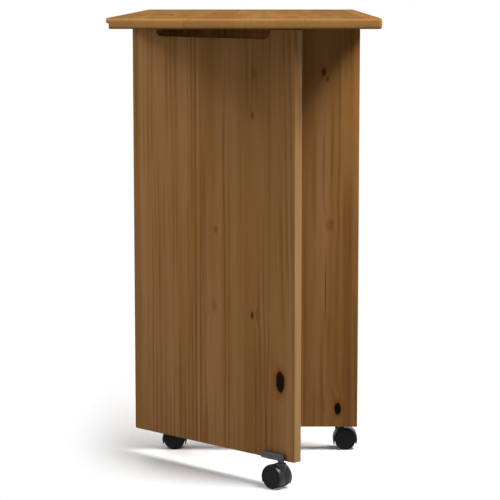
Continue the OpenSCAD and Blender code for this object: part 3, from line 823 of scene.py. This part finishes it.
for name in places:
    stem = middle(name + "_stem")
    piece = copy_of(bracket, name + "_bracket_plate")
    if name in ("near_right", "far_left"):
        work_on(piece)
        piece.scale = (1, -1, 1)
        bpy.ops.object.transform_apply()
        bpy.ops.object.mode_set(mode="EDIT")
        bpy.ops.mesh.select_all(action="SELECT")
        bpy.ops.mesh.normals_make_consistent(inside=False)
        bpy.ops.object.mode_set(mode="OBJECT")
    turn_z = {"near_left": math.pi, "far_left": math.pi, "gate": -gate_open}.get(name, 0)
    place_piece(piece, (stem.x, stem.y, 0), turn_z)
    body = "gate" if name == "gate" else "frame"
    finish_piece(piece, bracket_paint, body, "bracket_grey", name + "_bracket")
bpy.data.objects.remove(bracket)

# Casters. Twin black wheels on one axle under a moulded hood with two rounded lobes, a deep
# groove between them and a neck that holds the swivel stem. The wheels show inside the
# hood's rim, which ends below the axle in two points.
wheel_radius = 18 * MM
hood_radius = 21.5 * MM
hood_wall = 2.3 * MM
web_half = 1.2 * MM
wheel_start = 1.7 * MM
wheel_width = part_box("near_left_rear_wheel")[1].y - middle("near_left_axle").y - wheel_start
hood_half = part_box("near_left_hood")[1].y - middle("near_left_axle").y - 0.1 * MM
trail = (middle("near_left_axle") - middle("near_left_stem")).x
axle_z = middle("near_left_axle").z
neck_radius = 8.5 * MM
neck_top = bracket_low.z - 4 * MM
neck_round = 1.8 * MM
collar_radius = 5.2 * MM
collar_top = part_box("near_left_hood")[1].z
rim_sides = 72
tip_reach = 0.88 * hood_radius
tip_drop = 0.47 * hood_radius
skirt_drop = 0.24 * hood_radius
foot_drop = 0.469 * hood_radius
skirt_narrowing = 0.91
hood_arris = 0.35 * MM
wheel_arris = 0.9 * MM


def plastic(name, base, shade, roughness, grain, relief, gloss):
    """Moulded plastic: a fine grain that breaks its gloss, and faint scuffs."""
    material, nodes, links, shader = new_material(name, roughness)
    shader.inputs["Specular IOR Level"].default_value = gloss
    place = add_node(nodes, "TexCoord")
    moulding = add_node(nodes, "TexNoise")
    moulding.inputs["Scale"].default_value = grain
    scuffs = add_node(nodes, "TexNoise")
    scuffs.inputs["Scale"].default_value = 70
    scuffs.inputs["Detail"].default_value = 6
    tones = add_node(nodes, "Mix", data_type="RGBA")
    tones.inputs[6].default_value, tones.inputs[7].default_value = colour(base), colour(shade)
    dulling = add_node(nodes, "MapRange")
    dulling.inputs["To Min"].default_value = roughness - 0.06
    dulling.inputs["To Max"].default_value = roughness + 0.12
    bump = add_node(nodes, "Bump")
    bump.inputs["Strength"].default_value = relief
    bump.inputs["Distance"].default_value = fine_relief
    links.new(place.outputs["Object"], moulding.inputs["Vector"])
    links.new(place.outputs["Object"], scuffs.inputs["Vector"])
    links.new(scuffs.outputs[0], tones.inputs[0])
    links.new(scuffs.outputs[0], dulling.inputs["Value"])
    links.new(moulding.outputs[0], bump.inputs["Height"])
    links.new(tones.outputs[2], shader.inputs["Base Color"])
    links.new(dulling.outputs["Result"], shader.inputs["Roughness"])
    links.new(bump.outputs["Normal"], shader.inputs["Normal"])
    return material


hood_plastic = plastic("hood_plastic", "020202", "060607", 0.3, 300, 0.05, gloss=0.42)
wheel_plastic = plastic("wheel_plastic", "0b0c0c", "121313", 0.5, 900, 0.2, gloss=0.14)
caster_steel = metal("caster_steel", "8a8c8e", "5c6064", 0.35, 180)

# The hood is turned from a rod whose rings follow its two lobes
hood = new_rod("hood", (0, -hood_half, 0), (0, hood_half, 0), hood_radius, sides=rim_sides)
lobe_rings = ((0.0, 0.9), (0.12, 0.93), (0.2, 0.985), (0.38, 1.0), (0.72, 1.0), (0.9, 0.975))
bpy.ops.object.mode_set(mode="EDIT")
for share, _ in lobe_rings:
    for side in (-1, 1) if share else (1,):
        bpy.ops.mesh.select_all(action="SELECT")
        bpy.ops.mesh.bisect(plane_co=(0, side * share * hood_half, 0), plane_no=(0, 1, 0))
bpy.ops.object.mode_set(mode="OBJECT")
ring_sizes = lobe_rings + ((1.0, 0.93),)
for point in hood.data.vertices:
    share = abs(point.co.y) / hood_half
    size = min(ring_sizes, key=lambda ring: abs(ring[0] - share))[1]
    point.co.x *= size
    point.co.z *= size
pocket_radius = hood_radius - hood_wall
pockets = [
    new_rod(
        "pocket", (0, side * web_half, 0), (0, side * 2 * hood_half, 0), pocket_radius,
        sides=rim_sides,
    )
    for side in (-1, 1)
]
place_piece(hood, (trail, 0, axle_z), 0)
neck = new_rod("neck", (0, 0, axle_z), (0, 0, neck_top), neck_radius)
bpy.ops.object.mode_set(mode="EDIT")
select_faces(lambda centre, normal: normal.z > 0.9)
bpy.ops.mesh.bevel(offset=neck_round, segments=4, affect="EDGES")
bpy.ops.object.mode_set(mode="OBJECT")
collar = new_rod("collar", (0, 0, axle_z), (0, 0, collar_top), collar_radius)
for part in (neck, collar):
    apply_modifier(hood, "BOOLEAN", operation="UNION", solver="EXACT", object=part)
    bpy.data.objects.remove(part)
for pocket in pockets:
    place_piece(pocket, (trail, 0, axle_z), 0)
skirt = new_box(
    "skirt", (trail - tip_reach, -2 * hood_half, axle_z - tip_drop),
    (trail + tip_reach, 2 * hood_half, axle_z - skirt_drop),
)
bpy.ops.object.mode_set(mode="EDIT")
select_faces(lambda centre, normal: normal.z > 0.9)
bpy.ops.transform.resize(value=(skirt_narrowing, 1, 1))
bpy.ops.object.mode_set(mode="OBJECT")
foot = new_box(
    "foot", (trail - 2 * hood_radius, -2 * hood_half, -hood_radius),
    (trail + 2 * hood_radius, 2 * hood_half, axle_z - foot_drop),
)
cut(hood, *pockets, skirt, foot)
round_edges(hood, hood_arris, segments=2, angle=50)

# A wheel is turned with a soft tread, a raised rim, a dished face and a hub cap
wheel = new_rod(
    "wheel", (0, wheel_start, 0), (0, wheel_start + wheel_width, 0), wheel_radius,
    sides=rim_sides,
)
bpy.ops.object.mode_set(mode="EDIT")
for inset, depth in ((2.6, 0), (0.5, -0.5), (8.6, -0.25), (0.3, 0.35)):
    select_faces(lambda centre, normal: normal.y > 0.9 and centre.xz.length < 0.1 * MM)
    bpy.ops.mesh.inset(thickness=inset * MM, depth=depth * MM)
bpy.ops.object.mode_set(mode="OBJECT")
round_edges(wheel, wheel_arris, segments=3, angle=60)

for name in places:
    stem, axle = middle(name + "_stem"), middle(name + "_axle")
    heading = math.atan2(axle.y - stem.y, axle.x - stem.x)
    piece = copy_of(hood, name + "_hood_shell")
    place_piece(piece, (stem.x, stem.y, 0), heading)
    finish_piece(piece, hood_plastic, name + "_swivel", "hood_plastic", name + "_hood")
    for side, turn_z in (("front", math.pi), ("rear", 0)):
        piece = copy_of(wheel, f"{name}_{side}_roller")
        place_piece(piece, axle, heading + turn_z)
        node = f"{name}_{side}_wheel"
        finish_piece(piece, wheel_plastic, node, "wheel_plastic", node)
    paint(caster_steel, name + "_stem", name + "_axle")
bpy.data.objects.remove(hood)
bpy.data.objects.remove(wheel)
